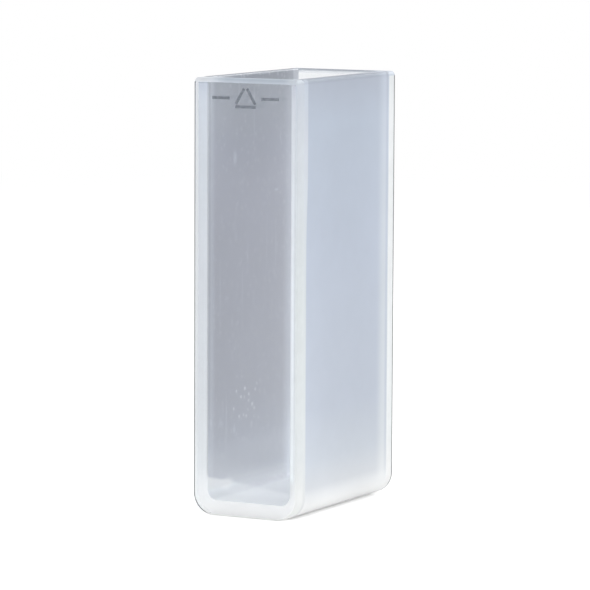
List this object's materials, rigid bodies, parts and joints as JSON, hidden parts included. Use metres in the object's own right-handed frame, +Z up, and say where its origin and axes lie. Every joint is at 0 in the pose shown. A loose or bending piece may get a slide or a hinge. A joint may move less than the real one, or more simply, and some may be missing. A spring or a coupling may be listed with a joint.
{
  "type": "cuvette",
  "caption": "Open-topped rectangular glass cuvette: a frosted one-piece U of side walls and floor between clear polished windows, with rounded lower corners.",
  "frame": {"origin": "middle of the underside, between the walls and between the windows", "axes": "+Z up through the open mouth, +Y along the light path from the front window to the rear window, +X across the windows from one frosted wall to the other"},
  "size_m": [0.0126, 0.023, 0.047],
  "materials": {
    "frosted_glass": "finely ground outside, satin, lightly translucent",
    "clear_glass": "optically polished faces with ground edges"
  },
  "bodies": {
    "root": {"u_frame": "frosted_glass", "front_window": "clear_glass", "rear_window": "clear_glass"}
  },
  "joints": []
}
